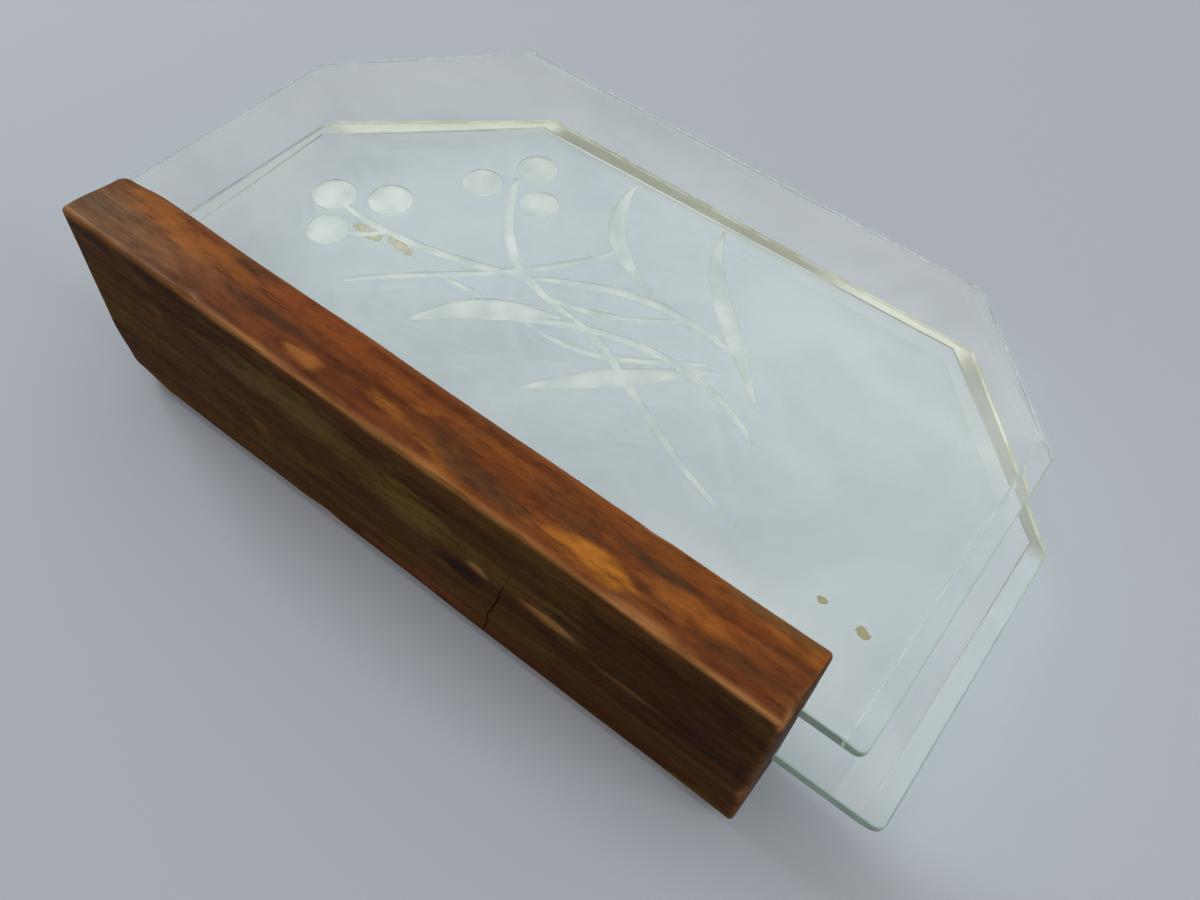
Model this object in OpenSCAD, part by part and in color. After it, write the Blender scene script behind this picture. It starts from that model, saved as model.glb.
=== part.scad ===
// Standing napkin holder: a hardwood bar with two saw-cut slots and two
// bevelled sheets of clear glass cemented upright in them.
// Frame: X runs along the bar, the front is -Y, +Z is up, and the origin is
// the centre of the bar's underside. All sizes are in millimetres.

/* [Wooden bar] */
// Length of the bar
bar_l = 170; // [120:1:260]
// Depth of the bar from front to back
bar_d = 48; // [36:1:80]
// Height of the bar
bar_h = 15.7; // [13:0.1:30]
// Radius worn on the four long edges
edge_r = 1.2; // [0.5:0.1:3]
// Radius of the upper left corner, seen from the front
corner_left_r = 3; // [1:0.1:5]
// Radius of the upper right corner, seen from the front
corner_right_r = 1.2; // [1:0.1:5]

/* [Slots] */
// Place of the front slot's centre line
front_slot_y = -8.3; // [-14:0.1:-6]
// Place of the back slot's centre line
back_slot_y = 6.9; // [6:0.1:14]
// Depth of the front slot
front_slot_depth = 5.2; // [3:0.1:9]
// Depth of the back slot
back_slot_depth = 7.9; // [3:0.1:9]
// Slot width beyond the glass thickness
slot_play = 0.2; // [0.1:0.1:0.6]
// Thickness of the cement under each sheet
cement_t = 0.5; // [0.3:0.1:1.5]

/* [Glass sheets] */
// Thickness of the glass
glass_t = 3; // [2:0.5:5]
// Width of the ground bevel along the sides and the top
bevel_w = 4; // [1:0.5:8]
// Depth that the bevel takes off the outer face
bevel_deep = 1; // [0.3:0.1:1.5]
// How much deeper the clipped corners are ground than the sides and the top
clip_extra = 0.06; // [0.04:0.01:0.3]
// Radius of the two bottom corners
foot_r = 2; // [0.5:0.5:5]

/* [Front sheet] */
// Width of the front sheet
front_w = 196.5; // [150:0.5:250]
// Height of the front sheet
front_h = 110.7; // [105:0.1:160]
// Clipped left corner: how far along the top, how far down the side
front_clip_left = [36.5, 40.1]; // [10:0.1:50]
// Clipped right corner: how far along the top, how far down the side
front_clip_right = [31.2, 33.7]; // [10:0.1:50]
// Sideways place of the sheet's middle
front_shift = -0.8; // [-8:0.1:8]

/* [Back sheet] */
// Width of the back sheet
back_w = 201.3; // [150:0.5:250]
// Height of the back sheet
back_h = 108.5; // [80:0.1:160]
// Clipped left corner: how far along the top, how far down the side
back_clip_left = [43.3, 40.1]; // [10:0.1:50]
// Clipped right corner: how far along the top, how far down the side
back_clip_right = [35.7, 38.7]; // [10:0.1:50]
// Sideways place of the sheet's middle
back_shift = 6.1; // [-8:0.1:8]

/* [Engraving] */
// Depth of the frosted engraving in the front sheet's outer face
engrave_deep = 0.3; // [0.1:0.1:0.6]
// Straight pieces along each engraved stroke
stroke_steps = 10; // [6:1:24]

/* [Hidden] */
slot_w = glass_t + slot_play;
front_seat = bar_h - front_slot_depth + cement_t;
back_seat = bar_h - back_slot_depth + cement_t;
past = 1;         // how far a cutter runs past what it cuts
$fn = 48;

// The spray, in the front sheet's plane: x from its middle, then height above
// the bar's underside. A bud is [centre, radius].
buds = [
    [[-60, 48.5], 4.9],
    [[-49.3, 55.4], 5],
    [[-53, 39.5], 4.6],
    [[-38, 73.5], 4.6],
    [[-31.5, 85.5], 4.7],
    [[-23.4, 76.3], 4.4],
];
// A stroke is [start, first handle, second handle, end, greatest width].
stems = [
    [[-56, 47.5], [-40, 45.5], [-22, 52], [-10, 57.5], 1.9],
    [[-10, 57.5], [2, 65], [14, 73], [37, 67.5], 1.9],
    [[-50.5, 41.5], [-48, 42], [-45, 44], [-43, 47.2], 1.6],
    [[-33, 80], [-26, 66], [-16, 54.5], [4, 54.2], 2.2],
    [[4, 54.2], [18, 53.5], [30, 40], [58.5, 33.4], 1.7],
    [[-40, 30.5], [-27, 46], [-12, 54], [-1, 76], 1.7],
    [[-25, 45.2], [-21, 45.8], [-18, 46.3], [-14, 46.3], 1.4],
    [[-6, 55], [4, 56], [14, 61], [23, 69.5], 1.6],
    [[-21.5, 32], [-4, 51], [25, 68], [50.6, 51], 1.8],
    [[-3.5, 46.8], [12, 46], [18, 51], [33, 62.5], 1.5],
];
leaves = [
    [[-10.6, 97.3], [-10, 84], [-2, 75], [12, 71], 3.9],
    [[13.8, 97], [17, 82], [31, 75], [47.5, 57.7], 4.2],
    [[-21.5, 32], [-16, 43], [-9, 48], [2, 52.4], 5],
    [[7, 32.7], [14, 41], [24, 51], [35, 61.5], 4.6],
];

// A rectangle from the origin with its own radius at each corner, listed
// anticlockwise from the lower left. Each corner is a true arc.
module rounded_rect(w, h, r) {
    corners = [[0, 0, 0], [w, 0, 90], [w, h, 180], [0, h, 270]];
    difference() {
        square([w, h]);
        for (i = [0:3])
            translate([corners[i][0], corners[i][1]])
                rotate(corners[i][2])
                    corner_waste(r[i]);
    }
}

// What a round takes off a square corner that lies at the origin
module corner_waste(r) {
    difference() {
        translate([-past, -past]) square(r + past);
        translate([r, r]) circle(r);
    }
}

module slot(y, depth) {
    translate([-bar_l / 2 - past, y - slot_w / 2, bar_h - depth])
        cube([bar_l + 2 * past, slot_w, depth + past]);
}

module base_block() {
    color("sienna")
    difference() {
        intersection() {
            translate([-bar_l / 2, -bar_d / 2, 0])
                rotate([90, 0, 90])
                    linear_extrude(bar_l)
                        rounded_rect(bar_d, bar_h, [edge_r, edge_r, edge_r, edge_r]);
            translate([-bar_l / 2, bar_d / 2, 0])
                rotate([90, 0, 0])
                    linear_extrude(bar_d)
                        rounded_rect(bar_l, bar_h, [edge_r, edge_r, corner_right_r, corner_left_r]);
        }
        slot(front_slot_y, front_slot_depth);
        slot(back_slot_y, back_slot_depth);
    }
}

// Outline of a sheet, anticlockwise from its lower left: a quarter round at
// each foot, then up the right side, over the top and down the left side
function foot_round(w) = [for (a = [0:22.5:90]) [w / 2 - foot_r + foot_r * sin(a), foot_r - foot_r * cos(a)]];
function flipped(points) = [for (i = [len(points) - 1:-1:0]) [-points[i][0], points[i][1]]];
function sheet_outline(w, h, clip_l, clip_r) = concat(
    flipped(foot_round(w)),
    foot_round(w),
    bevelled_corners(w, h, clip_l, clip_r)
);
function bevelled_corners(w, h, clip_l, clip_r) = [
    [w / 2, h - clip_r[1]],
    [w / 2 - clip_r[0], h],
    [-w / 2 + clip_l[0], h],
    [-w / 2, h - clip_l[1]],
];

// What the bevel takes off along the edge from a to b, whose inside is on the left
module bevel_waste(a, b, deep) {
    step = b - a;
    rise = deep / bevel_w;
    over = 3;     // how far the wedge runs past the edge all round
    translate([a[0], a[1], 0])
        rotate([0, 0, atan2(step[1], step[0])])
            translate([-2 * bevel_w, 0, 0])
                rotate([90, 0, 90])
                    linear_extrude(norm(step) + 4 * bevel_w)
                        polygon([
                            [-over, glass_t - deep - over * rise],
                            [bevel_w + over, glass_t + over * rise],
                            [-over, glass_t + over * rise],
                        ]);
}

// A sheet lying on its inner face, bevelled along the sides and the top of its
// upper face. Every second bevelled edge is a clipped corner.
module sheet(w, h, clip_l, clip_r) {
    bevelled = concat([[w / 2, 0]], bevelled_corners(w, h, clip_l, clip_r), [[-w / 2, 0]]);
    difference() {
        linear_extrude(glass_t)
            polygon(sheet_outline(w, h, clip_l, clip_r));
        for (i = [0:len(bevelled) - 2])
            bevel_waste(bevelled[i], bevelled[i + 1], bevel_deep + (i % 2) * clip_extra);
    }
}

// A point on a cubic curve, and the curve's direction there
function curve_point(s, t) =
    pow(1 - t, 3) * s[0] + 3 * pow(1 - t, 2) * t * s[1]
    + 3 * (1 - t) * t * t * s[2] + pow(t, 3) * s[3];
function curve_way(s, t) =
    pow(1 - t, 2) * (s[1] - s[0]) + 2 * (1 - t) * t * (s[2] - s[1]) + t * t * (s[3] - s[2]);
function side_step(s, t, half) =
    let (way = curve_way(s, t)) half * [-way[1], way[0]] / norm(way);

// Half the width of a stroke: a stem keeps its width and thins only near its
// ends, a leaf swells from one point and thins to the other
function stem_half(s, t) = s[4] / 2 * (0.35 + 0.65 * pow(sin(180 * t), 0.5));
function leaf_half(s, t) = s[4] / 2 * (0.08 + 0.92 * sin(180 * t));

module stroke(s, leaf = false) {
    ts = [for (i = [0:stroke_steps]) i / stroke_steps];
    half = [for (t = ts) leaf ? leaf_half(s, t) : stem_half(s, t)];
    left = [for (i = [0:stroke_steps]) curve_point(s, ts[i]) + side_step(s, ts[i], half[i])];
    right = [for (i = [stroke_steps:-1:0]) curve_point(s, ts[i]) - side_step(s, ts[i], half[i])];
    polygon(concat(left, right));
}

// The engraved spray as one flat figure
module spray() {
    for (bud = buds)
        translate(bud[0]) circle(bud[1]);
    for (s = stems)
        stroke(s);
    for (s = leaves)
        stroke(s, leaf = true);
}

module front_glass() {
    color("lightcyan", 0.35)
    translate([front_shift, front_slot_y + glass_t / 2, front_seat])
        rotate([90, 0, 0])
            difference() {
                sheet(front_w, front_h, front_clip_left, front_clip_right);
                translate([0, -front_seat, glass_t - engrave_deep])
                    linear_extrude(engrave_deep + past)
                        spray();
            }
}

module back_glass() {
    color("lightcyan", 0.35)
    translate([back_shift, back_slot_y - glass_t / 2, back_seat])
        rotate([90, 0, 180])     // turned to face backwards, which swaps its two ends
            sheet(back_w, back_h, back_clip_right, back_clip_left);
}

module cement_bed(y, seat) {
    color("tan")
    translate([-bar_l / 2, y - slot_w / 2, seat - cement_t])
        cube([bar_l, slot_w, cement_t]);
}

module front_cement() {
    cement_bed(front_slot_y, front_seat);
}

module back_cement() {
    cement_bed(back_slot_y, back_seat);
}

base_block();
front_glass();
back_glass();
front_cement();
back_cement();
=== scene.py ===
"""Looks for a glass napkin holder: a worn hardwood bar, and two bevelled sheets
of clear glass cemented upright in its slots, the front one engraved.

Lengths are in millimetres in the row frame (X along the bar, the front at -Y,
Z up) until a mesh, lamp or camera is made, which is in metres.
"""

import math

import bmesh
import bpy
import numpy as np
from mathutils import Matrix, Vector, noise


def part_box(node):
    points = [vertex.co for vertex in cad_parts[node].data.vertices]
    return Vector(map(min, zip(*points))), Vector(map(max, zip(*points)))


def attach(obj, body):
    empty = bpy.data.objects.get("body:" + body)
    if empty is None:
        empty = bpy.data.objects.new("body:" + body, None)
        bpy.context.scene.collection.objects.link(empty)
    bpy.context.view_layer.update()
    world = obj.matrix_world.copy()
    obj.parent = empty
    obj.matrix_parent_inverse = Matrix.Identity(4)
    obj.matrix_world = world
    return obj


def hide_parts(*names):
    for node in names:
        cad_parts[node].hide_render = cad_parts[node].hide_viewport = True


MM = 0.001

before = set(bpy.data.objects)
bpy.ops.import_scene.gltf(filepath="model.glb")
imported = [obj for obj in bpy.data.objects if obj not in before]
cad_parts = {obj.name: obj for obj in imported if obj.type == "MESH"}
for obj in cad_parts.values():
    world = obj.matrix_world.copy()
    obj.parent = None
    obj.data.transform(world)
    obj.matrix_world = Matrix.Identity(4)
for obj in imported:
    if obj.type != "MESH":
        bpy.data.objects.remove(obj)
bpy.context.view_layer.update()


def box_mm(node):
    """A CAD node's lowest and highest corners, in millimetres."""
    low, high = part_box(node)
    return low / MM, high / MM


BAR_LOW, BAR_HIGH = box_mm("base_block")

# ---------------------------------------------------------------- dimensions

EDGE_ROUND = 1.0          # radius worn on the bar's edges
EDGE_ROUND_VARIES = 0.55  # how much it varies along them
HANDLED_ROUND = 3.2       # radius along the top of the left end, worn by hands
KNOCKED_ROUND = 4.5       # radius at the lower back corner of the left end
GRAIN_DEEP = 0.045        # depth of the open grain
WAVES_DEEP = 0.1          # depth of the waves that an old plane left
SLOT_MOUTH = 0.3          # chamfer left along the mouth of a slot
SURFACE_DOWN = 0.15       # about how far wear lowers the surface at the slots
GRID_ALONG = 1.1          # spacing of the bar's mesh along it
GRID_ACROSS = 0.5         # and across it

CEMENT_SHORT = 0.5        # how far the cement stops short of the bar's ends
CEMENT_RAGGED = 0.3       # how uneven its ends are
CEMENT_DOWN = 0.75        # how far its film stops below the bar's top
CEMENT_VARIES = 0.35      # how much that varies
CEMENT_STEPS = 150

BEVEL_W = 4.0             # width of the ground bevel on a sheet
BEVEL_DEEP = 1.0          # what the bevel takes off the outer face
SHOULDER_W = 0.3          # strip of the bevel that is rounded into the flat face
CLEAR, BEVEL, EDGE, SHOULDER, ENGRAVED = range(5)   # a sheet's material slots
SEAM = 0.22               # small chamfer on every other edge of the glass
BEVELLED = 5              # edges of a sheet with a bevel: all but the foot
FOOT_R = 2.0              # radius of a sheet's bottom corners
FOOT_STEPS = 6

# How far each sheet's clipped corners go along the top, and down the side
FRONT_CLIP_LEFT = (36.5, 40.1)
FRONT_CLIP_RIGHT = (31.2, 33.7)
BACK_CLIP_LEFT = (43.3, 40.1)
BACK_CLIP_RIGHT = (35.7, 38.7)

# The engraved spray in the front sheet's plane: x from its middle, then height.
# A bud is (centre, radius).
BUDS = [
    ((-60, 48.5), 4.9),
    ((-49.3, 55.4), 5.0),
    ((-53, 39.5), 4.6),
    ((-38, 73.5), 4.6),
    ((-31.5, 85.5), 4.7),
    ((-23.4, 76.3), 4.4),
]
# A stroke is (start, first handle, second handle, end, greatest width).
STEMS = [
    ((-56, 47.5), (-40, 45.5), (-22, 52), (-10, 57.5), 1.9),
    ((-10, 57.5), (2, 65), (14, 73), (37, 67.5), 1.9),
    ((-50.5, 41.5), (-48, 42), (-45, 44), (-43, 47.2), 1.6),
    ((-33, 80), (-26, 66), (-16, 54.5), (4, 54.2), 2.2),
    ((4, 54.2), (18, 53.5), (30, 40), (58.5, 33.4), 1.7),
    ((-40, 30.5), (-27, 46), (-12, 54), (-1, 76), 1.7),
    ((-25, 45.2), (-21, 45.8), (-18, 46.3), (-14, 46.3), 1.4),
    ((-6, 55), (4, 56), (14, 61), (23, 69.5), 1.6),
    ((-21.5, 32), (-4, 51), (25, 68), (50.6, 51), 1.8),
    ((-3.5, 46.8), (12, 46), (18, 51), (33, 62.5), 1.5),
]
LEAVES = [
    ((-10.6, 97.3), (-10, 84), (-2, 75), (12, 71), 3.9),
    ((13.8, 97), (17, 82), (31, 75), (47.5, 57.7), 4.2),
    ((-21.5, 32), (-16, 43), (-9, 48), (2, 52.4), 5.0),
    ((7, 32.7), (14, 41), (24, 51), (35, 61.5), 4.6),
]
BUD_DEEP = 0.26
LEAF_DEEP = 0.28
STEM_DEEP = 0.2
CUT_EDGE = 0.02           # depth of a cut at its very edge
CUT_ABOVE = 0.3           # how far a cutter stands above the glass
STROKE_STEPS = 28
BUD_STEPS = 48

# Chips in the edges of the glass: (centre, radius) of what bites them out
FRONT_CHIPS = [((-88.6, -10.3, 93.2), 1.5), ((30.5, -10.4, 122.4), 1.5), ((97.9, -9.6, 50.5), 1.2)]
BACK_CHIPS = [((-6.5, 4.9, 117.6), 1.5), ((39.5, 5.0, 117.8), 1.9), ((-72.6, 5.0, 99.0), 1.4)]

# Dirt on the front sheet: (centre, half size along X, Y and Z, colour)
SPECKS = [
    ((77.5, -9.8, 30.6), (1.05, 2, 0.65), "#9c9560"),
    ((86.3, -9.8, 29.6), (1.2, 2, 0.95), "#a2905a"),
    ((-46.8, -9.8, 44.6), (3.9, 2, 1.2), "#c8c3a0"),
    ((-38.2, -9.8, 46.2), (3.4, 2, 1.1), "#cbc7a8"),
]
# Dents in the bar: (centre, half size along X, Y and Z, depth)
DENTS = [
    ((41, -1.9, 0), (5.2, 1.5, 3), 0.5),
    ((23.5, -1.1, 0), (1.7, 1.1, 3), 0.45),
    ((58, 2.0, 0), (7.0, 1.0, 3), 0.3),
    ((-36, 6.0, 0), (3.0, 1.2, 3), 0.25),
    ((-62, -9.0, 0), (1.5, 2.2, 3), 0.25),
    ((-48, -24, 0), (2.2, 1.4, 1.4), 0.45),
    ((-9, -24, 0), (1.3, 1.2, 1.2), 0.35),
    ((33, -24, 0), (1.8, 1.3, 1.3), 0.4),
    ((66, -24, 0), (2.6, 1.4, 1.4), 0.45),
    ((85, -24, 5), (1.5, 1.5, 2.0), 0.5),
    ((85, 10, 0), (1.4, 2.4, 1.4), 0.5),
    ((-20, 24, 0), (4.0, 1.3, 1.3), 0.5),
    ((12, 24, 15.7), (2.0, 1.2, 1.2), 0.4),
    ((-55, 24, 15.7), (3.0, 1.2, 1.2), 0.4),
    ((50, -24, 15.7), (2.2, 1.1, 1.1), 0.35),
]
# Patches of stain, dirt and bare wood:
# (centre, half size along X, Y and Z, colour, strength)
PATCHES = [
    ((-77, -24, 6), (12, 3, 7), "#6b4b24", 0.55),
    ((-70, -24, 12), (9, 3, 3), "#94571c", 0.6),
    ((-58, -24, 7), (15, 3, 4), "#87562a", 0.5),
    ((-66, -24, 3.2), (13, 3, 2), "#785232", 0.35),
    ((66, -6, 0), (28, 17, 3), "#2c150a", 0.6),
    ((-55, -24, 11), (16, 3, 2.6), "#985a1e", 0.55),
    ((-28, -24, 12.5), (18, 3, 2.4), "#84431a", 0.65),
    ((-31, -24, 7), (15, 3, 1.4), "#3d2413", 0.7),
    ((-21, -24, 4.6), (5, 3, 1.7), "#a2672a", 0.7),
    ((22, -24, 4.2), (11, 3, 2.2), "#46321f", 0.7),
    ((45, -24, 4.6), (9, 3, 2.2), "#b37024", 0.8),
    ((54, -24, 10), (8, 3, 1.8), "#44311d", 0.65),
    ((62, -24, 7), (9, 3, 2.2), "#9c5b20", 0.6),
    ((73, -24, 4.6), (7, 3, 1.5), "#482b17", 0.6),
    ((75, -24, 15), (13, 3, 1.9), "#55452a", 0.65),
    ((-23, -12, 0), (22, 6, 3), "#6c5a2a", 0.65),
    ((8, -5, 0), (10, 7, 3), "#715e2c", 0.6),
    ((10, 20, 0), (17, 2.4, 3), "#6e3d24", 0.75),
    ((41, -1.8, 0), (6, 1.7, 3), "#93703f", 0.8),
    ((24, -2, 0), (2.6, 1.6, 3), "#97794a", 0.8),
    ((20, 3, 0), (6, 3, 3), "#20130b", 0.8),
]
# Cracks in the underside: ((x, y) points, width, depth)
CRACKS = [
    ([(31.4, -7.5), (30.2, -2), (29.0, 3), (27.9, 8), (26.2, 13), (25.6, 18), (24.0, 25)], 0.32, 0.8),
    ([(-34, 20.6), (-20, 21.2), (-6, 21.0), (8, 21.7), (21, 21.4)], 0.35, 0.6),
    ([(47, 8.6), (55, 8.2), (66, 8.9), (74, 8.5)], 0.28, 0.45),
]


# ---------------------------------------------------------------- mesh helpers


def new_object(name, points, faces, materials=()):
    """An object from points in millimetres and faces, with its materials."""
    mesh = bpy.data.meshes.new(name)
    mesh.from_pydata([Vector(p) * MM for p in points], [], faces)
    for material in materials:
        mesh.materials.append(material)
    obj = bpy.data.objects.new(name, mesh)
    bpy.context.scene.collection.objects.link(obj)
    work = bmesh.new()
    work.from_mesh(mesh)
    bmesh.ops.recalc_face_normals(work, faces=work.faces)
    work.to_mesh(mesh)
    work.free()
    return obj


def cut(obj, cutter):
    """Takes cutter out of obj, and removes cutter."""
    modifier = obj.modifiers.new("cut", "BOOLEAN")
    modifier.operation = "DIFFERENCE"
    modifier.solver = "MANIFOLD"
    modifier.object = cutter
    depsgraph = bpy.context.evaluated_depsgraph_get()
    result = bpy.data.meshes.new_from_object(obj.evaluated_get(depsgraph))
    obj.modifiers.clear()
    obj.data = result
    bpy.data.objects.remove(cutter)


def tube_faces(rings, size):
    """Faces of a closed tube of rings with size points each, capped at both ends."""
    faces = []
    for r in range(rings - 1):
        for i in range(size):
            j = (i + 1) % size
            faces.append((r * size + i, r * size + j, (r + 1) * size + j, (r + 1) * size + i))
    faces.append(tuple(reversed(range(size))))
    faces.append(tuple(range((rings - 1) * size, rings * size)))
    return faces


def smooth_between(value, low, high):
    """0 up to low, 1 from high on, and a smooth step between them. high may be the smaller."""
    t = min(max((value - low) / (high - low), 0), 1)
    return t * t * (3 - 2 * t)


# ---------------------------------------------------------------- node helpers


def linear(hex_colour):
    """A colour such as "#8f4a1d" as the linear numbers that sockets take."""
    parts = [int(hex_colour[i : i + 2], 16) / 255 for i in (1, 3, 5)]
    return tuple(((p + 0.055) / 1.055) ** 2.4 if p > 0.04045 else p / 12.92 for p in parts) + (1.0,)


# Where a patch begins to show and where it is full, as shares of its half size
PATCH_STARTS = 1.3
PATCH_FULL = 0.4


class Nodes:
    """Short forms for building the nodes of a material or a world."""

    def __init__(self, owner):
        self.owner = owner
        owner.use_nodes = True
        self.tree = owner.node_tree
        self.tree.nodes.clear()

    def add(self, kind, inputs=None, **settings):
        """A node of that kind. inputs maps a socket's name or number to a value or an output."""
        node = self.tree.nodes.new("ShaderNode" + kind)
        for key, value in settings.items():
            setattr(node, key, value)
        for key, value in (inputs or {}).items():
            if isinstance(value, bpy.types.NodeSocket):
                self.tree.links.new(value, node.inputs[key])
            else:
                node.inputs[key].default_value = value
        return node

    def math(self, operation, a, b=0.0, clamp=False):
        return self.add("Math", {0: a, 1: b}, operation=operation, use_clamp=clamp).outputs[0]

    def position(self):
        return self.add("TexCoord").outputs["Object"]

    def place(self, axis):
        """The position along that axis, in metres."""
        return self.add("SeparateXYZ", {0: self.position()}).outputs[axis]

    def stretched_noise(self, stretch, detail=4.0, roughness=0.55, distortion=0.0):
        """Noise whose features have sizes of 1 / stretch, in metres, along X, Y and Z."""
        mapped = self.add("Mapping", {"Vector": self.position(), "Scale": stretch})
        inputs = {
            "Vector": mapped.outputs[0],
            "Scale": 1.0,
            "Detail": detail,
            "Roughness": roughness,
            "Distortion": distortion,
        }
        return self.add("TexNoise", inputs).outputs["Fac"]

    def ramp(self, factor, stops):
        """Colours at places along factor: stops is [(place, colour or number)]."""
        node = self.add("ValToRGB", {"Fac": factor})
        elements = node.color_ramp.elements
        while len(elements) < len(stops):
            elements.new(0.5)
        for element, (place, colour) in zip(elements, stops):
            element.position = place
            element.color = linear(colour) if isinstance(colour, str) else (colour,) * 3 + (1,)
        return node.outputs["Color"]

    def mix(self, factor, a, b, blend="MIX"):
        node = self.add("Mix", {0: factor}, data_type="RGBA", blend_type=blend)
        for socket, value in ((node.inputs[6], a), (node.inputs[7], b)):
            if isinstance(value, bpy.types.NodeSocket):
                self.tree.links.new(value, socket)
            else:
                socket.default_value = linear(value) if isinstance(value, str) else value
        return node.outputs[2]

    def between(self, value, low, high, out_low=0.0, out_high=1.0):
        """value from low..high to out_low..out_high, smoothly and held at the ends."""
        inputs = {
            "Value": value,
            "From Min": low,
            "From Max": high,
            "To Min": out_low,
            "To Max": out_high,
        }
        return self.add("MapRange", inputs, interpolation_type="SMOOTHSTEP").outputs[0]

    def patch(self, centre, size, warp, strength):
        """strength inside the ellipsoid round centre, in millimetres, and 0 outside.
        warp, a noise round 0, makes its edge ragged."""
        scale = [1 / (s * MM) for s in size]
        shift = [-c * MM * k for c, k in zip(centre, scale)]
        local = self.add("Mapping", {"Vector": self.position(), "Location": shift, "Scale": scale})
        far = self.add("VectorMath", {0: local.outputs[0]}, operation="LENGTH").outputs["Value"]
        return self.between(self.math("ADD", far, warp), PATCH_STARTS, PATCH_FULL, 0, strength)

    def ragged_noise(self, stretch, detail, strength):
        """Noise round 0, for the edges of patches."""
        centred = self.math("SUBTRACT", self.stretched_noise(stretch, detail=detail), 0.5)
        return self.math("MULTIPLY", centred, strength)

    def finish(self, shader):
        """Ends a material with that shader."""
        self.add("OutputMaterial", {"Surface": shader})
        return self.owner


def new_material(name):
    return Nodes(bpy.data.materials.new(name))


# ---------------------------------------------------------------- materials


def varnished_wood(n, streaks, lines, patches, stains):
    """Reddish brown under old varnish, and duller at the left end."""
    colour = n.ramp(streaks, [(0.3, "#432511"), (0.43, "#5f3014"), (0.56, "#784019"), (0.72, "#945822")])
    colour = n.mix(n.between(patches, 0.55, 0.75, 0, 0.6), colour, "#a96723")
    colour = n.mix(n.between(stains, 0.52, 0.68, 0, 0.6), colour, "#4a3320")
    colour = n.mix(1.0, colour, n.ramp(lines, [(0.3, 0.68), (0.5, 0.9), (0.65, 1.0)]), "MULTIPLY")
    dull_end = n.between(n.place("X"), -0.083, -0.052, 0.35, 0)
    return n.mix(n.math("MULTIPLY", dull_end, stains), colour, "#6a5230")


def bare_wood(n, streaks, lines, patches, stains):
    """The stained underside, which has no varnish."""
    colour = n.ramp(streaks, [(0.3, "#3a1f0b"), (0.48, "#533010"), (0.62, "#654316"), (0.75, "#75531b")])
    colour = n.mix(n.between(stains, 0.48, 0.64, 0, 0.7), colour, "#5f4b22")
    colour = n.mix(n.between(patches, 0.6, 0.74, 0, 0.6), colour, "#6d4a28")
    return n.mix(1.0, colour, n.ramp(lines, [(0.3, 0.55), (0.55, 0.95), (0.7, 1.0)]), "MULTIPLY")


def end_grain(n, stains):
    """Dark growth rings on the sawn ends."""
    bent = n.add("Mapping", {"Vector": n.position(), "Location": (0, 0.012, 0.03), "Scale": (3, 1, 1)})
    inputs = {
        "Vector": bent.outputs[0],
        "Scale": 130,
        "Distortion": 2.2,
        "Detail": 3,
        "Detail Scale": 60,
    }
    rings = n.add("TexWave", inputs, wave_type="RINGS", rings_direction="X").outputs["Fac"]
    colour = n.ramp(rings, [(0.1, "#2f1c0d"), (0.6, "#422611"), (0.95, "#513116")])
    return n.mix(n.between(stains, 0.45, 0.65, 0, 0.7), colour, "#2b1a0e")


def wood_material():
    """Varnished wood with a bare underside and sawn ends, stained, patched and worn pale, with a painted
    highlight along the front lower ridge.
    """
    n = new_material("worn_hardwood")
    normal = n.add("SeparateXYZ", {0: n.add("NewGeometry").outputs["True Normal"]})
    wear = n.add("Attribute", attribute_name="wear").outputs["Fac"]

    streaks = n.stretched_noise((7, 95, 95), detail=6, roughness=0.6, distortion=0.5)
    lines = n.stretched_noise((16, 520, 520), detail=5, roughness=0.6)
    pores = n.stretched_noise((120, 2600, 2600), detail=2)
    patches = n.stretched_noise((38, 120, 160), detail=4, roughness=0.5, distortion=0.8)
    stains = n.stretched_noise((30, 60, 60), detail=5, roughness=0.65)
    mottle = n.stretched_noise((240, 680, 680), detail=4, roughness=0.7)

    under = n.between(normal.outputs["Z"], -0.45, -0.8)
    at_end = n.between(n.math("ABSOLUTE", normal.outputs["X"]), 0.5, 0.85)
    varnished = varnished_wood(n, streaks, lines, patches, stains)
    colour = n.mix(under, varnished, bare_wood(n, streaks, lines, patches, stains))
    colour = n.mix(at_end, colour, end_grain(n, stains))
    warp = n.ragged_noise((90, 420, 420), 5, 2.2)
    for centre, size, tint, strength in PATCHES:
        colour = n.mix(n.patch(centre, size, warp, strength), colour, tint)
    colour = n.mix(1.0, colour, n.ramp(mottle, [(0.36, 0.66), (0.5, 0.9), (0.62, 1.0)]), "MULTIPLY")
    # Pale bare wood on worn edges and in dents, and a painted highlight along the front lower ridge,
    # from the wear attribute.
    rubbed_and_highlit = n.math("MULTIPLY", wear, n.between(lines, 0.3, 0.6, 0.45, 1.0), clamp=True)
    colour = n.mix(rubbed_and_highlit, colour, "#b9824f")
    colour = n.mix(n.between(pores, 0.62, 0.7, 0, 0.5), colour, "#2a170b")

    rough = n.between(stains, 0.3, 0.7, 0.36, 0.56)
    rough = n.math("ADD", rough, n.math("MULTIPLY", under, 0.2))
    rough = n.math("ADD", rough, n.math("MULTIPLY", at_end, 0.18), clamp=True)
    relief = n.math("ADD", n.math("MULTIPLY", lines, 0.7), n.math("MULTIPLY", pores, -0.5))
    bump = n.add("Bump", {"Strength": 0.5, "Distance": 0.00025, "Height": relief})
    shader = {
        "Base Color": colour,
        "Roughness": rough,
        "Normal": bump.outputs[0],
        "Specular IOR Level": 0.035,
        "Coat Weight": n.math("MULTIPLY", n.math("SUBTRACT", 1.0, under), 0.1),
        "Coat Roughness": 0.3,
    }
    return n.finish(n.add("BsdfPrincipled", shader).outputs[0])


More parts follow.
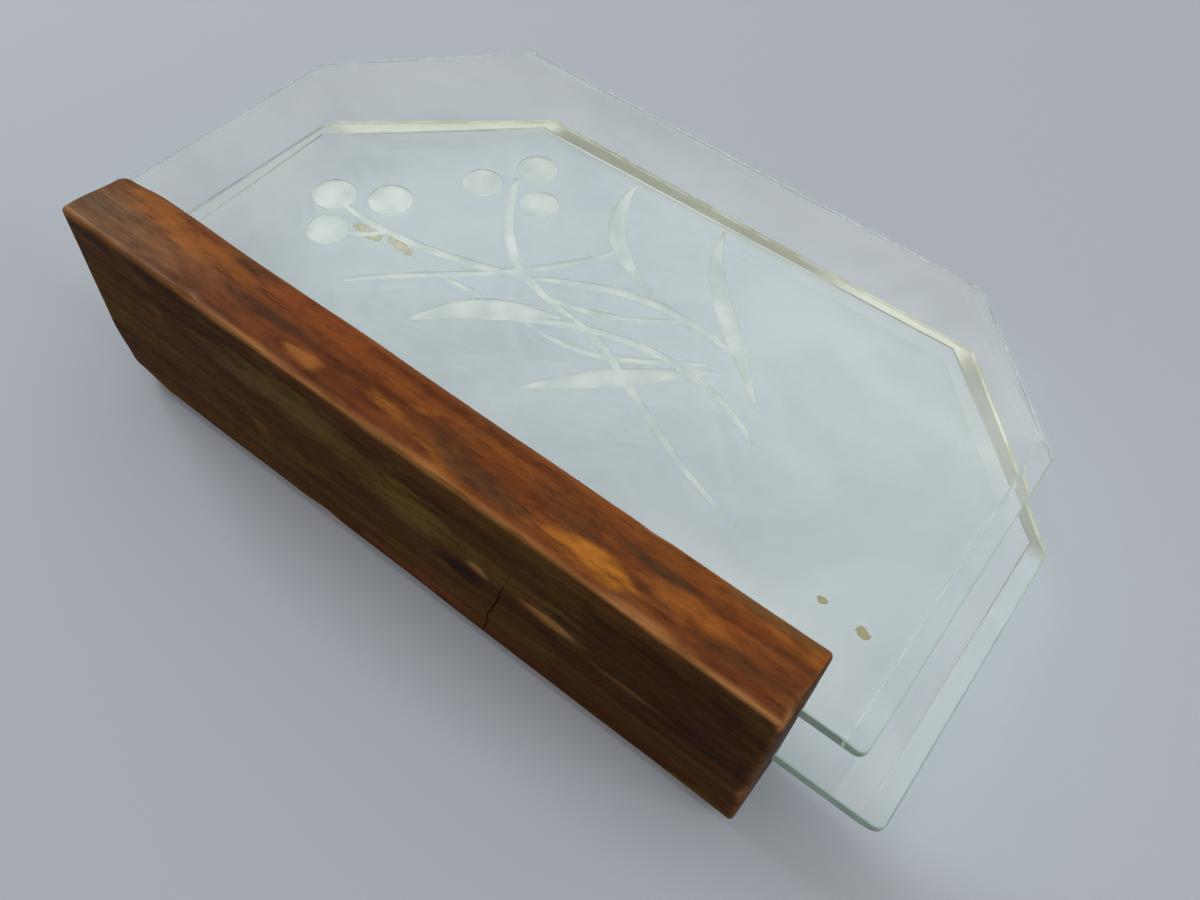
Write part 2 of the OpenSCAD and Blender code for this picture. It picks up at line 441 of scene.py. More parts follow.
def finish_glass(n, inputs, tint):
    """Ends a glass material: the glass for eyes, and a plain tinted opening for the light of lamps."""
    glass = n.add("BsdfPrincipled", inputs)
    opening = n.add("BsdfTransparent", {"Color": tint})
    is_shadow = n.add("LightPath").outputs["Is Shadow Ray"]
    mix = n.add("MixShader", {0: is_shadow, 1: glass.outputs[0], 2: opening.outputs[0]})
    return n.finish(mix.outputs[0])


def clear_glass_material(name, specks=()):
    """Clear glass with a thin uneven film of dust and smears.
    specks are dirt: (centre, half size, colour)."""
    n = new_material(name)
    film = n.stretched_noise((22, 22, 30), detail=5, roughness=0.6, distortion=1.2)
    clear = n.between(film, 0.35, 0.7, 0.985, 0.94)
    colour = n.ramp(film, [(0.3, "#fafcfb"), (0.7, "#f6f9f7")])
    ragged = n.ragged_noise((500, 500, 500), 3, 1.8)
    for centre, size, tint in specks:
        spot = n.patch(centre, size, ragged, 1.0)
        colour = n.mix(n.math("MULTIPLY", spot, 4.0, clamp=True), colour, tint)
        clear = n.math("SUBTRACT", clear, n.math("MULTIPLY", spot, 0.6), clamp=True)
    shader = {"Base Color": colour, "Roughness": 0.02, "IOR": 1.5, "Transmission Weight": clear}
    return finish_glass(n, shader, (0.97, 0.985, 0.975, 1))


def painted_highlight_line(n, rim, x):
    """Where a painted highlight line runs along the bevel: on its inner side in the left half of the
    top, else on its outer.
    """
    inner_half = n.math("MULTIPLY", n.between(x, -0.052, -0.046), n.between(x, 0.045, 0.025))
    inner = n.math("MULTIPLY", n.between(rim, 0.3, 0.2), inner_half)
    outer = n.math("MULTIPLY", n.between(rim, 0.58, 0.68), n.math("SUBTRACT", 1.0, inner_half))
    return n.math("ADD", inner, outer)


def bevel_material(name, top_highlight_share):
    """The ground and nearly polished bevel. Where its top-highlight share is 1 its upper part has a
    painted reflection, olive, with a painted highlight line, and is greyer without that line at the
    right end."""
    n = new_material(name)
    wheel = n.stretched_noise((160, 160, 160), detail=4)
    x = n.place("X")
    rim = n.add("Attribute", attribute_name="rim").outputs["Fac"]
    # A painted reflection along the top of the bevel, olive and greyer at the right end, with a painted
    # highlight line on it.
    top_reflection = n.between(n.place("Z"), 0.074, 0.08, 0, top_highlight_share)
    at_right = n.between(x, 0.067, 0.075)
    line = n.math("MULTIPLY", painted_highlight_line(n, rim, x), n.math("SUBTRACT", 1.0, at_right))
    line = n.math("MULTIPLY", line, top_reflection, clamp=True)
    olive = n.mix(at_right, "#81773f", "#93937c")
    colour = n.mix(line, n.mix(top_reflection, "#eaf1f2", olive), "#fffbe9")
    clear = n.between(wheel, 0.3, 0.7, 0.93, 0.87)
    clear = n.math("SUBTRACT", clear, n.math("MULTIPLY", top_reflection, 0.15))
    clear = n.math("SUBTRACT", clear, n.math("MULTIPLY", line, 0.35))
    ripple = n.add("Bump", {"Strength": 0.08, "Distance": 0.0002, "Height": wheel})
    shader = {
        "Base Color": colour,
        "Roughness": n.between(wheel, 0.3, 0.7, 0.04, 0.12),
        "IOR": 1.5,
        "Transmission Weight": clear,
        "Normal": ripple.outputs[0],
    }
    return finish_glass(n, shader, (0.9, 0.94, 0.92, 1))


def edge_material(name, top_highlight_share):
    """The narrow sides of the glass: pale green, and along the top a painted highlight, yellowish to
    near white, as strong as the top-highlight share.
    """
    n = new_material(name)
    tone = n.stretched_noise((120, 120, 120), detail=3)
    # A painted highlight along the top edge, yellowish to near white.
    cream_highlight = n.between(n.place("Z"), 0.06, 0.095, 0, top_highlight_share)
    green = n.ramp(tone, [(0.35, "#acd4ba"), (0.65, "#c2e2cb")])
    clear = n.between(tone, 0.3, 0.7, 0.88, 0.82)
    shader = {
        "Base Color": n.mix(cream_highlight, green, n.ramp(tone, [(0.4, "#cbc48a"), (0.6, "#fbf8e2")])),
        "Roughness": n.between(tone, 0.3, 0.7, 0.1, 0.2),
        "IOR": 1.5,
        "Transmission Weight": n.math("SUBTRACT", clear, n.math("MULTIPLY", cream_highlight, 0.4)),
    }
    return finish_glass(n, shader, (0.75, 0.88, 0.78, 1))


def shoulder_material():
    """The thin line where the back sheet's bevel meets its flat: a painted highlight, brightest along
    the left of the top.
    """
    n = new_material("bevel_shoulder")
    tone = n.stretched_noise((60, 60, 60), detail=3)
    # Painted highlight, brightest along the left of the top.
    brightest_highlight = n.math("MULTIPLY", n.between(n.place("Z"), 0.1, 0.11), n.between(n.place("X"), 0.045, 0.02))
    shader = {
        "Base Color": n.ramp(tone, [(0.35, "#eceddc"), (0.65, "#ffffff")]),
        "Roughness": 0.12,
        "IOR": 1.5,
        "Transmission Weight": n.between(brightest_highlight, 0, 1, 0.85, 0.3),
    }
    return finish_glass(n, shader, (0.9, 0.92, 0.9, 1))


def engraving_material():
    """The cut surface of the engraving: white and frosted."""
    n = new_material("frosted_cut")
    grit = n.stretched_noise((3500, 3500, 3500), detail=2)
    tone = n.stretched_noise((180, 180, 180), detail=3)
    bump = n.add("Bump", {"Strength": 0.3, "Distance": 0.0001, "Height": grit})
    shader = {
        "Base Color": n.ramp(tone, [(0.35, "#c6d2cd"), (0.65, "#dde5e1")]),
        "Roughness": n.between(grit, 0.3, 0.7, 0.42, 0.6),
        "IOR": 1.45,
        "Transmission Weight": n.between(tone, 0.3, 0.7, 0.62, 0.46),
        "Normal": bump.outputs[0],
    }
    return finish_glass(n, shader, (0.7, 0.72, 0.71, 1))


def cement_material():
    """Old hardened cement, yellowish and slightly shiny."""
    n = new_material("hard_cement")
    tone = n.stretched_noise((300, 300, 300), detail=4)
    bump = n.add("Bump", {"Strength": 0.4, "Distance": 0.0002, "Height": tone})
    shader = {
        "Base Color": n.ramp(tone, [(0.3, "#8f7444"), (0.7, "#c2a871")]),
        "Roughness": n.between(tone, 0.3, 0.7, 0.35, 0.55),
        "Normal": bump.outputs[0],
    }
    return n.finish(n.add("BsdfPrincipled", shader).outputs[0])


# ---------------------------------------------------------------- wooden bar


def grid_lines(low, high, coarse):
    """Places from low to high, coarse apart, and closer within 3 mm of each end."""
    near, fine = 3.0, 0.3
    start = np.arange(low, low + near, fine)
    middle = np.linspace(low + near, high - near, int((high - low - 2 * near) / coarse) + 1)
    return np.concatenate([start, middle, high + low - start[::-1]])


def gridded_box(xs, ys, zs):
    """Points and quads of a closed box on the given grid lines."""
    index = {}
    points = []

    def corner(i, j, k):
        if (i, j, k) not in index:
            index[i, j, k] = len(points)
            points.append((xs[i], ys[j], zs[k]))
        return index[i, j, k]

    spans = (len(xs) - 1, len(ys) - 1, len(zs) - 1)
    faces = []
    for axis in range(3):
        a, b = (axis + 1) % 3, (axis + 2) % 3
        for side in (0, spans[axis]):
            for i in range(spans[a]):
                for j in range(spans[b]):
                    quad = []
                    for di, dj in ((0, 0), (1, 0), (1, 1), (0, 1)):
                        place = [0, 0, 0]
                        place[axis], place[a], place[b] = side, i + di, j + dj
                        quad.append(corner(*place))
                    faces.append(quad if side else quad[::-1])
    return points, faces


def edge_round(p):
    """The radius worn on the bar's edges near p."""
    uneven = noise.noise(Vector((p.x * 0.06, p.y * 0.06, p.z * 0.1)))
    worn = EDGE_ROUND + EDGE_ROUND_VARIES * (0.5 + uneven)
    to_top = math.hypot(p.x - BAR_LOW.x, p.z - BAR_HIGH.z)
    to_knock = math.dist(p, (BAR_LOW.x, BAR_HIGH.y, BAR_LOW.z))
    worn += (HANDLED_ROUND - worn) * smooth_between(to_top, 13, 3)
    return worn + (KNOCKED_ROUND - worn) * smooth_between(to_knock, 15, 3)


def grain_relief(p):
    """How deep the open grain and the plane's waves are at p. They fade out towards the sawn ends."""
    to_end = min(p.x - BAR_LOW.x, BAR_HIGH.x - p.x)
    fine = noise.noise(Vector((p.x * 0.03, p.y * 1.1, p.z * 1.1)))
    broad = noise.noise(Vector((p.x * 0.02, p.y * 0.14, p.z * 0.14 + 7)))
    return (GRAIN_DEEP * max(fine, 0) + WAVES_DEEP * max(broad + 0.6, 0)) * smooth_between(to_end, 0, 4)


def dent_depth(p):
    """How deep the dents are at p."""
    total = 0.0
    for centre, size, depth in DENTS:
        far = sum(((p[i] - centre[i]) / size[i]) ** 2 for i in range(3))
        if far < 6:    # further out a dent is too shallow to count
            total += depth * math.exp(-far)
    return total


def worn_point(p):
    """Where the bar's surface is after wear, for a point p on the square bar."""
    radius = edge_round(p)
    core = Vector(min(max(p[i], BAR_LOW[i] + radius), BAR_HIGH[i] - radius) for i in range(3))
    out = (p - core).normalized()
    return core + out * (radius - grain_relief(p) - dent_depth(p))


def slot_cutter(name, cement, material):
    """A saw cut along the bar, as wide and deep as the cement under the glass, with a broken mouth."""
    low, high = box_mm(cement)
    surface = BAR_HIGH.z - SURFACE_DOWN
    reach = 2.0
    section = [
        (low.y, low.z),
        (high.y, low.z),
        (high.y, surface - SLOT_MOUTH),
        (high.y + SLOT_MOUTH + reach, surface + reach),
        (low.y - SLOT_MOUTH - reach, surface + reach),
        (low.y, surface - SLOT_MOUTH),
    ]
    points = [(x, y, z) for x in (BAR_LOW.x - reach, BAR_HIGH.x + reach) for y, z in section]
    return new_object(name, points, tube_faces(2, len(section)), [material])


def crack_cutter(name, route, width, depth, material):
    """A thin wedge along route in the bar's underside, thinning out to both ends."""
    below = 0.8
    per_piece = 6
    places = []
    for a, b in zip(route, route[1:]):
        for i in range(per_piece):
            places.append(Vector(a).lerp(Vector(b), i / per_piece))
    places.append(Vector(route[-1]))
    along = (places[-1] - places[0]).normalized()
    side = Vector((-along.y, along.x))
    points = []
    for i, place in enumerate(places):
        t = i / (len(places) - 1)
        swell = 0.15 + 0.85 * min(1, 3 * t, 6 * (1 - t) + 0.3)
        jitter = noise.noise(Vector((place.x * 0.7, place.y * 0.7, 3))) * 0.5
        middle = place + side * jitter
        half = width * swell * (1 + below / depth) / 2
        points += [
            (*(middle - side * half), -below),
            (*(middle + side * half), -below),
            (middle.x, middle.y, depth * swell + 0.1),
        ]
    return new_object(name, points, tube_faces(len(places), 3), [material])


def store_values(mesh, name, value_at):
    """Stores value_at(point in millimetres) on every point of the mesh as the attribute name."""
    values = [value_at(vertex.co / MM) for vertex in mesh.vertices]
    attribute = mesh.attributes.new(name, "FLOAT", "POINT")
    attribute.data.foreach_set("value", np.array(values, np.float32))


def rubbed_and_ridge_highlight_share(p):
    """How bare and pale the wood is at p: along edges and in dents, and most on the front lower ridge,
    where the paleness is also a painted highlight that fades towards the left end.
    """
    gaps = sorted(min(p[i] - BAR_LOW[i], BAR_HIGH[i] - p[i]) for i in range(3))
    to_edge = math.hypot(max(gaps[0], 0), max(gaps[1], 0))
    uneven = noise.noise(Vector((p.x * 0.09, p.y * 0.3, p.z * 0.3 + 5)))
    reach = max(0.7 + 0.8 * (uneven + 0.4), 0.3)
    to_ridge = math.hypot(p.y - BAR_LOW.y, p.z - BAR_LOW.z)
    # Painted highlight along the front lower ridge, on top of its wear, weaker at the left end.
    ridge_highlight = 0.3 + 0.4 * smooth_between(p.x, -60, -10)
    share = 0.2 + ridge_highlight * smooth_between(to_ridge, 4, 2)
    edge = math.exp(-((to_edge / reach) ** 2)) * share
    in_dents = 0.9 * min(dent_depth(p), 0.6) * (1 if p.z < 2 else 0.4)
    return min(1, edge + in_dents)


def make_bar(material):
    xs = grid_lines(BAR_LOW.x, BAR_HIGH.x, GRID_ALONG)
    ys = grid_lines(BAR_LOW.y, BAR_HIGH.y, GRID_ACROSS)
    zs = grid_lines(BAR_LOW.z, BAR_HIGH.z, GRID_ACROSS)
    points, faces = gridded_box(xs, ys, zs)
    bar = new_object("worn_bar", [worn_point(Vector(p)) for p in points], faces, [material])
    cut(bar, slot_cutter("front_saw_cut", "front_cement", material))
    cut(bar, slot_cutter("back_saw_cut", "back_cement", material))
    for i, (route, width, depth) in enumerate(CRACKS):
        cut(bar, crack_cutter(f"crack_{i}", route, width, depth, material))
    # The wear attribute holds worn edges and dents together with a painted highlight along the front
    # lower ridge.
    store_values(bar.data, "wear", rubbed_and_ridge_highlight_share)
    return bar


# ---------------------------------------------------------------- glass sheets


def inset_outline(points, amounts):
    """A convex anticlockwise outline with the edge after point i moved in by amounts[i]."""
    count = len(points)
    result = []
    for i in range(count):
        before, here, after = Vector(points[i - 1]), Vector(points[i]), Vector(points[(i + 1) % count])
        way_in, way_out = (here - before).normalized(), (after - here).normalized()
        normal_in, normal_out = Vector((-way_in.y, way_in.x)), Vector((-way_out.y, way_out.x))
        turn = way_in.x * way_out.y - way_in.y * way_out.x
        if abs(turn) < 1e-6:
            result.append(here + normal_out * amounts[i])
            continue
        reach = (amounts[i - 1] * way_out.dot(way_in) - amounts[i]) / turn
        result.append(here + normal_in * amounts[i - 1] - way_in * reach)
    return result


def sheet_corners(width, height, clip_left, clip_right):
    """A sheet's six corners, anticlockwise from its lower left, with x from its middle."""
    half = width / 2
    return [
        (-half, 0),
        (half, 0),
        (half, height - clip_right[1]),
        (half - clip_right[0], height),
        (-half + clip_left[0], height),
        (-half, height - clip_left[1]),
    ]


def sheet_outline(corners):
    """The corners with the two at the foot rounded, and a point where each side bevel starts."""
    half = corners[1][0]
    turns = [math.pi / 2 * i / FOOT_STEPS for i in range(FOOT_STEPS + 1)]
    foot = [(half - FOOT_R + FOOT_R * math.sin(a), FOOT_R - FOOT_R * math.cos(a)) for a in turns]
    other_foot = [(-x, z) for x, z in reversed(foot)]
    starts = [(half - BEVEL_W, 0), (half - BEVEL_W + SHOULDER_W, 0)]
    other_starts = [(-x, z) for x, z in reversed(starts)]
    return other_starts[1:] + starts + foot + corners[2:] + other_foot + other_starts[:1]


def bevel_gap(corners, p):
    """How far p is inside the nearest bevelled edge. Only the foot, the first edge, isn't bevelled."""
    gaps = []
    for a, b in zip(corners[1:], corners[2:] + corners[:1]):
        way = (Vector(b) - Vector(a)).normalized()
        gaps.append(Vector((-way.y, way.x)).dot(Vector(p) - Vector(a)))
    return min(gaps)


def node_corners(node, clip_left, clip_right):
    """A sheet's corners and the x of its middle, from its CAD node."""
    low, high = box_mm(node)
    return sheet_corners(high.x - low.x, high.z - low.z, clip_left, clip_right), (low.x + high.x) / 2


def add_rim(mesh, node, clip_left, clip_right):
    """Stores on the mesh how far out each point is across the bevel: 0 inside it, 1 at the edge."""
    low = box_mm(node)[0]
    corners, middle = node_corners(node, clip_left, clip_right)

    def rim_at(p):
        gap = bevel_gap(corners, (p.x - middle, p.z - low.z))
        return min(max(1 - gap / BEVEL_W, 0), 1)

    store_values(mesh, "rim", rim_at)


def make_sheet(name, node, clip_left, clip_right, outer, materials):
    """A sheet of glass. Its bevel is on the front if outer is -1, and on the back if it is 1."""
    low, high = box_mm(node)
    thick = high.y - low.y
    corners, middle = node_corners(node, clip_left, clip_right)
    outline = sheet_outline(corners)
    seamed = inset_outline(outline, [SEAM] * len(outline))
    face = inset_outline(corners, [SEAM] + [BEVEL_W] * BEVELLED)
    shoulder = inset_outline(corners, [SEAM] + [BEVEL_W - SHOULDER_W] * BEVELLED)

    def surface(p):
        """How far the outer surface is from the inner face at p."""
        return min(thick, thick - BEVEL_DEEP + BEVEL_DEEP * bevel_gap(corners, p) / BEVEL_W)

    inner_y = high.y if outer < 0 else low.y

    def place(p, away):
        return (middle + p[0], inner_y + outer * away, low.z + p[1])

    # Four rings of the outline from the inner face outwards, then the bevel's shoulder and the flat
    count = len(outline)
    points = [place(p, 0) for p in seamed]
    points += [place(p, SEAM) for p in outline]
    points += [place(p, surface(p) - SEAM) for p in outline]
    points += [place(p, surface(p)) for p in seamed]
    points += [place(p, surface(p)) for p in shoulder[2:]]
    points += [place(p, thick) for p in face[2:]]
    rim = 3 * count
    low_left, low_right, right_start, left_start = rim, rim + 1, rim + 2, rim + count - 1
    upper = right_start + FOOT_STEPS + 2
    strip, flat = 4 * count, 4 * count + 4
    faces = [tuple(range(count))]
    kinds = [CLEAR]
    for ring in range(3):
        for i in range(count):
            j = (i + 1) % count
            a, b = ring * count, (ring + 1) * count
            faces.append((a + i, a + j, b + j, b + i))
            kinds.append(EDGE)
    faces.append((*range(right_start, upper + 1), strip))
    faces += [(upper + i, upper + i + 1, strip + i + 1, strip + i) for i in range(3)]
    faces.append((*range(upper + 3, rim + count), strip + 3))
    kinds += [BEVEL] * BEVELLED
    faces.append((low_right, right_start, strip, flat))
    faces += [(strip + i, strip + i + 1, flat + i + 1, flat + i) for i in range(3)]
    faces.append((strip + 3, left_start, low_left, flat + 3))
    kinds += [SHOULDER] * BEVELLED
    faces.append((low_left, low_right, flat, flat + 1, flat + 2, flat + 3))
    kinds.append(CLEAR)
    sheet = new_object(name, points, faces, materials)
    for polygon, kind in zip(sheet.data.polygons, kinds):
        polygon.material_index = kind
    return sheet


def curve_point(s, t):
    """The point at t, from 0 to 1, on the curve of a stroke."""
    a, b, c, d = (Vector(p) for p in s[:4])
    return a * (1 - t) ** 3 + b * 3 * (1 - t) ** 2 * t + c * 3 * (1 - t) * t * t + d * t**3


def curve_side(s, t):
    """The unit vector across the curve at t."""
    a, b, c, d = (Vector(p) for p in s[:4])
    way = (b - a) * (1 - t) ** 2 + (c - b) * 2 * (1 - t) * t + (d - c) * t * t
    return Vector((-way.y, way.x)).normalized()


def cutter_object(name, rings, size, materials):
    """A smooth cutter from rings of size points, whose cut gets the engraved material."""
    cutter = new_object(name, rings, tube_faces(len(rings) // size, size), materials)
    for polygon in cutter.data.polygons:
        polygon.material_index = ENGRAVED
        polygon.use_smooth = True
    return cutter


def stroke_cutter(name, stroke, leaf, origin, materials):
    """A round-bottomed cut along a stroke. A stem keeps its width and thins only near its ends,
    and a leaf swells from a point. origin is the sheet's middle and outer face, as (x, y)."""
    across = (-1, -0.8, -0.5, 0, 0.5, 0.8, 1)
    deep = LEAF_DEEP if leaf else STEM_DEEP
    rings = []
    for i in range(STROKE_STEPS + 1):
        t = i / STROKE_STEPS
        swell = math.sin(math.pi * t)
        share = 0.08 + 0.92 * max(swell, 0) if leaf else 0.35 + 0.65 * math.sqrt(max(swell, 0))
        half = stroke[4] / 2 * share
        middle, side = curve_point(stroke, t), curve_side(stroke, t)
        section = [(u, CUT_EDGE + deep * share * (1 - u * u)) for u in across]
        section += [(1, -CUT_ABOVE), (-1, -CUT_ABOVE)]
        for u, down in section:
            p = middle + side * u * half
            rings.append((origin[0] + p.x, origin[1] + down, p.y))
    return cutter_object(name, rings, len(across) + 2, materials)


def bud_cutter(name, centre, radius, origin, materials):
    """A shallow round dish."""
    levels = [
        (-CUT_ABOVE, 1),
        (CUT_EDGE, 1),
        (0.6 * BUD_DEEP, 0.95),
        (0.9 * BUD_DEEP, 0.8),
        (BUD_DEEP, 0.5),
    ]
    rings = []
    for down, share in levels:
        for i in range(BUD_STEPS):
            a = 2 * math.pi * i / BUD_STEPS
            x = origin[0] + centre[0] + radius * share * math.cos(a)
            rings.append((x, origin[1] + down, centre[1] + radius * share * math.sin(a)))
    return cutter_object(name, rings, BUD_STEPS, materials)


def engrave(sheet, node, materials):
    """Cuts the spray into the sheet's outer face."""
    low, high = box_mm(node)
    origin = ((low.x + high.x) / 2, low.y)
    for i, (centre, radius) in enumerate(BUDS):
        cut(sheet, bud_cutter(f"bud_{i}", centre, radius, origin, materials))
    for i, stroke in enumerate(STEMS):
        cut(sheet, stroke_cutter(f"stem_{i}", stroke, False, origin, materials))
    for i, stroke in enumerate(LEAVES):
        cut(sheet, stroke_cutter(f"leaf_{i}", stroke, True, origin, materials))


def chip_cutter(name, centre, radius, materials):
    """A small lump that bites a shell-shaped chip out of an edge of the glass."""
    lumps_per_metre = 900
    lumpiness = 0.12
    work = bmesh.new()
    bmesh.ops.create_icosphere(work, subdivisions=3, radius=radius * MM)
    for vertex in work.verts:
        lump = noise.noise(vertex.co * lumps_per_metre + Vector(centre))
        vertex.co = vertex.co * (1 + lumpiness * lump) + Vector(centre) * MM
    mesh = bpy.data.meshes.new(name)
    work.to_mesh(mesh)
    work.free()
    for material in materials:
        mesh.materials.append(material)
    for polygon in mesh.polygons:
        polygon.material_index = EDGE
        polygon.use_smooth = True
    cutter = bpy.data.objects.new(name, mesh)
    bpy.context.scene.collection.objects.link(cutter)
    return cutter


# ---------------------------------------------------------------- cement


def make_cement(name, node, glass, material):
    """The bed under a sheet, and the thin film with an uneven rim that rose on both sides of it."""
    low, high = box_mm(node)
    glass_low, glass_high = box_mm(glass)
    slack = 0.02
    slope = 0.1
    length = high.x - low.x - 2 * CEMENT_SHORT
    rings = []
    for i in range(CEMENT_STEPS + 1):
        x = low.x + CEMENT_SHORT + length * i / CEMENT_STEPS
        if i in (0, CEMENT_STEPS):
            x += CEMENT_RAGGED * noise.noise(Vector((low.y, i, 2)))
        uneven = [CEMENT_VARIES * noise.noise(Vector((x * 0.35, low.y, k))) for k in (1, 9)]
        back_top, front_top = (BAR_HIGH.z - CEMENT_DOWN + u for u in uneven)
        section = [
            (low.y + slack, low.z + slack),
            (high.y - slack, low.z + slack),
            (high.y - slack, back_top),
            (glass_high.y + slack, back_top - slope),
            (glass_high.y + slack, high.z - slack),
            (glass_low.y - slack, high.z - slack),
            (glass_low.y - slack, front_top - slope),
            (low.y + slack, front_top),
        ]
        rings += [(x, y, z) for y, z in section]
    return new_object(name, rings, tube_faces(CEMENT_STEPS + 1, len(section)), [material])


# ---------------------------------------------------------------- studio


# Lying on its back the holder rests on the bar's upper back edge and on the
# top of the back sheet, and the floor under it leans back by this much.
REST_Y, REST_Z = BAR_HIGH.y, BAR_HIGH.z
BACK_TOP = box_mm("back_glass")[1]
LEAN = math.atan2(REST_Y - BACK_TOP.y, BACK_TOP.z - REST_Z)
STUDIO_COLOUR = (0.35, 0.38, 0.43, 1)
FLOOR_HALF = 0.6          # half the side of a floor, in metres
FLOOR_SOLID = 0.3         # how far from its centre a floor is solid, in metres
FLOOR_GONE = 0.55         # and where it has faded out
FLOOR_GAP = 0.0004        # how far a floor stays clear of the holder, in metres
LYING_ALONG = -0.03       # where the lying floor's centre is along the bar, in metres
LYING_UP = 0.075          # and how far up the slope from where the bar rests
LYING_GLOW = 0.12         # the share of its colour that each floor has without light
STANDING_GLOW = 0.4
# The glow in the sky over the front of the lying holder: the way to it, its colour, the
# cosines of the angles from it where it starts and is full, and its strength at both
GLOW_WAY = Vector((0.1, -0.95, 0.45)).normalized()
GLOW_COLOUR = (1, 0.965, 0.9, 1)
GLOW_COSINES = (0.78, 0.98)
GLOW_STRENGTHS = (0.45, 1.2)
# Square soft lamps in metres: (name, place, size, power, whether it shows in glossy surfaces)
LAMPS = [
    ("key", (-0.78, -0.6, 0.08), 0.3, 5, True),
    ("side", (0.8, -0.5, 0.1), 0.4, 2.5, True),
    ("back_fill", (-0.45, 0.75, 0.45), 0.6, 4, False),
]


def floor_material(name, centre, glow):
    """Pale matt floor, seen only from its upper side, that fades out round its centre.
    glow is the share of the pale colour that it has without any light."""
    n = new_material(name)
    away = n.add("VectorMath", {0: n.position(), 1: centre}, operation="DISTANCE").outputs["Value"]
    shown = n.between(away, FLOOR_SOLID, FLOOR_GONE, 1, 0)
    front = n.math("SUBTRACT", 1.0, n.add("NewGeometry").outputs["Backfacing"])
    matt = n.add("BsdfDiffuse", {"Color": STUDIO_COLOUR})
    even = n.add("Emission", {"Color": STUDIO_COLOUR, "Strength": glow})
    floor = n.add("AddShader", {0: matt.outputs[0], 1: even.outputs[0]})
    nothing = n.add("BsdfTransparent")
    factor = n.math("MULTIPLY", shown, front)
    mix = n.add("MixShader", {0: factor, 1: nothing.outputs[0], 2: floor.outputs[0]})
    return n.finish(mix.outputs[0])


def make_floor(name, centre, up, glow):
    """A flat square floor in metres. One pair of its sides runs along the bar and the other along up."""
    along = Vector((1, 0, 0)) * FLOOR_HALF
    corners = ((-1, -1), (1, -1), (1, 1), (-1, 1))
    mesh = bpy.data.meshes.new(name)
    mesh.from_pydata([centre + along * a + up * b * FLOOR_HALF for a, b in corners], [], [(0, 1, 2, 3)])
    mesh.materials.append(floor_material(name, centre, glow))
    floor = bpy.data.objects.new(name, mesh)
    bpy.context.scene.collection.objects.link(floor)
    floor.visible_shadow = False
    return floor


def make_floors():
    """The floor behind the lying holder, and one under it for views of it standing."""
    slope = Vector((0, -math.sin(LEAN), math.cos(LEAN)))
    foot = Vector((0, REST_Y, REST_Z)) * MM + Vector((0, FLOOR_GAP, 0))
    centre = foot + slope * LYING_UP + Vector((LYING_ALONG, 0, 0))
    make_floor("lying_floor", centre, slope, LYING_GLOW)
    standing = make_floor("standing_floor", Vector((0, 0, -FLOOR_GAP)), Vector((0, 1, 0)), STANDING_GLOW)
    standing.visible_diffuse = False
    standing.visible_glossy = False


def make_lamp(name, place, size, power, mirrored):
    """A lamp aimed at the middle of the holder."""
    data = bpy.data.lights.new(name, "AREA")
    data.size = size
    data.energy = power
    lamp = bpy.data.objects.new(name, data)
    target = Vector((0, 0, 0.06))
    lamp.location = place
    lamp.rotation_euler = (target - Vector(place)).to_track_quat("-Z", "Y").to_euler()
    lamp.visible_camera = False
    lamp.visible_transmission = False
    lamp.visible_glossy = mirrored
    bpy.context.scene.collection.objects.link(lamp)


def make_sky():
    """Plain pale surroundings for the eye and through glass, and the glow for all other rays."""
    world = bpy.data.worlds.new("studio")
    bpy.context.scene.world = world
    n = Nodes(world)
    way = n.add("TexCoord").outputs["Generated"]
    facing = n.add("VectorMath", {0: way, 1: GLOW_WAY}, operation="DOT_PRODUCT").outputs["Value"]
    glow = n.between(facing, *GLOW_COSINES, *GLOW_STRENGTHS)
    lit = n.add("Background", {"Color": GLOW_COLOUR, "Strength": glow})
    plain = n.add("Background", {"Color": STUDIO_COLOUR, "Strength": 1.0})
    path = n.add("LightPath").outputs
    seen = n.math("MAXIMUM", path["Is Camera Ray"], path["Is Transmission Ray"])
    mix = n.add("MixShader", {0: seen, 1: lit.outputs[0], 2: plain.outputs[0]})
    n.add("OutputWorld", {"Surface": mix.outputs[0]})


CAMERA_AT = (89.8, -172.0, -67.1)
CAMERA_RIGHT = (0.792, -0.066, 0.607)
CAMERA_FORWARD = (-0.310, 0.813, 0.492)
LENS = 31.44


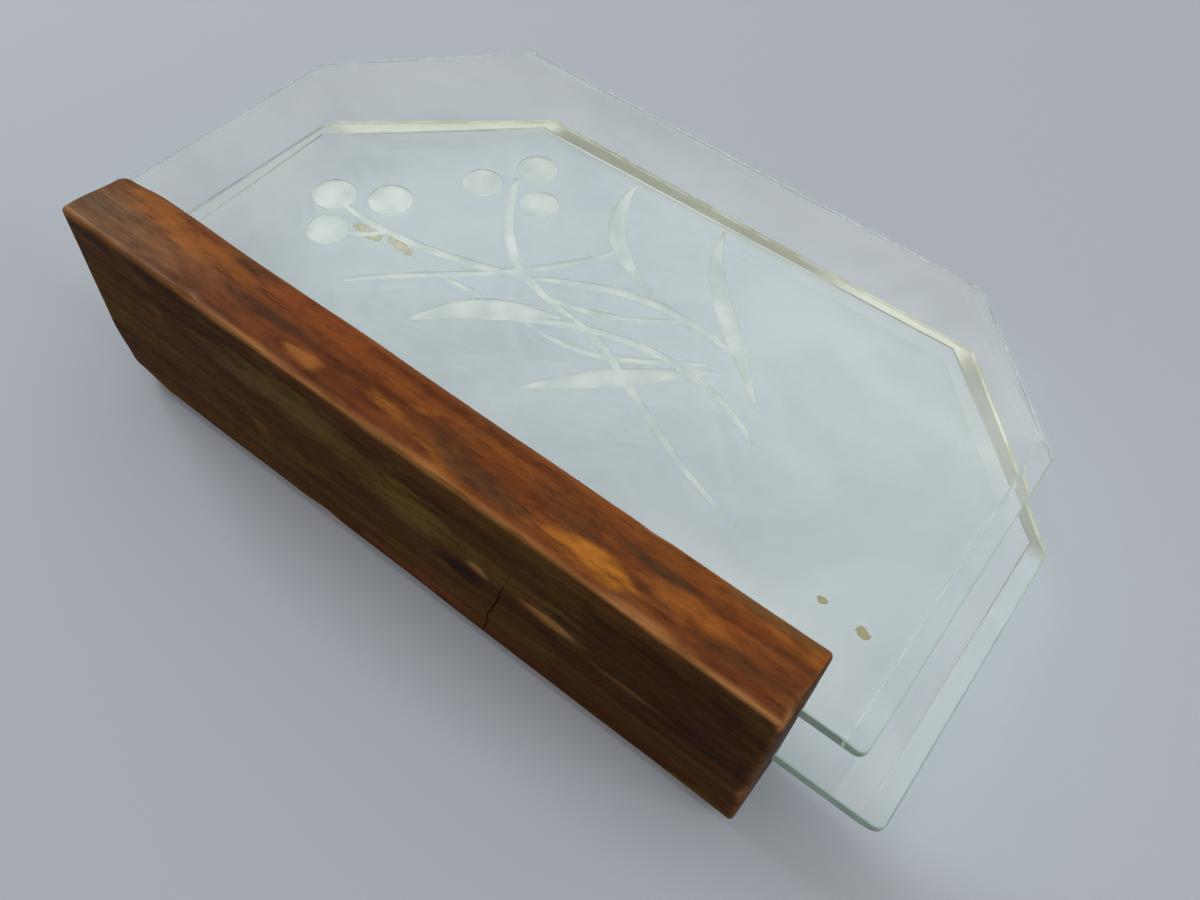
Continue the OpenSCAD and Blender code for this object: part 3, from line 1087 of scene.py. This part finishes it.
def make_camera():
    """The camera below and in front of the bar, which sees the holder lying on its back."""
    data = bpy.data.cameras.new("camera")
    data.lens = LENS
    data.sensor_width = 36
    data.clip_start = 0.01
    camera = bpy.data.objects.new("camera", data)
    forward = Vector(CAMERA_FORWARD).normalized()
    up = Vector(CAMERA_RIGHT).cross(forward).normalized()
    right = forward.cross(up)
    turn = Matrix((right, up, -forward)).transposed().to_4x4()
    camera.matrix_world = Matrix.Translation(Vector(CAMERA_AT) * MM) @ turn
    bpy.context.scene.collection.objects.link(camera)
    bpy.context.scene.camera = camera


# ---------------------------------------------------------------- assembly

make_camera()

bar = make_bar(wood_material())
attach(bar, "root")
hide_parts("base_block")

front_bevel = bevel_material("front_bevel", 0.0)
front_edge = edge_material("front_edge", 0.0)
front_clear = clear_glass_material("front_clear_glass", SPECKS)
front_materials = [front_clear, front_bevel, front_edge, front_bevel, engraving_material()]
front = make_sheet("front_sheet", "front_glass", FRONT_CLIP_LEFT, FRONT_CLIP_RIGHT, -1, front_materials)
engrave(front, "front_glass", front_materials)
for i, (centre, radius) in enumerate(FRONT_CHIPS):
    cut(front, chip_cutter(f"front_chip_{i}", centre, radius, front_materials))
add_rim(front.data, "front_glass", FRONT_CLIP_LEFT, FRONT_CLIP_RIGHT)
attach(front, "root")
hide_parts("front_glass")

back_clear = clear_glass_material("back_clear_glass")
# The back sheet's top gets the painted reflection and highlights in its bevel, edge and shoulder.
back_bevel = bevel_material("back_bevel", 0.9)
back_materials = [back_clear, back_bevel, edge_material("back_edge", 1.0), shoulder_material()]
back = make_sheet("back_sheet", "back_glass", BACK_CLIP_LEFT, BACK_CLIP_RIGHT, 1, back_materials)
for i, (centre, radius) in enumerate(BACK_CHIPS):
    cut(back, chip_cutter(f"back_chip_{i}", centre, radius, back_materials))
add_rim(back.data, "back_glass", BACK_CLIP_LEFT, BACK_CLIP_RIGHT)
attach(back, "root")
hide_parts("back_glass")

cement = cement_material()
for side in ("front", "back"):
    bed = make_cement(f"{side}_cement_bed", f"{side}_cement", f"{side}_glass", cement)
    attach(bed, "root")
    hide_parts(f"{side}_cement")

make_floors()
make_sky()
for lamp in LAMPS:
    make_lamp(*lamp)
bpy.context.scene.view_settings.view_transform = "Standard"
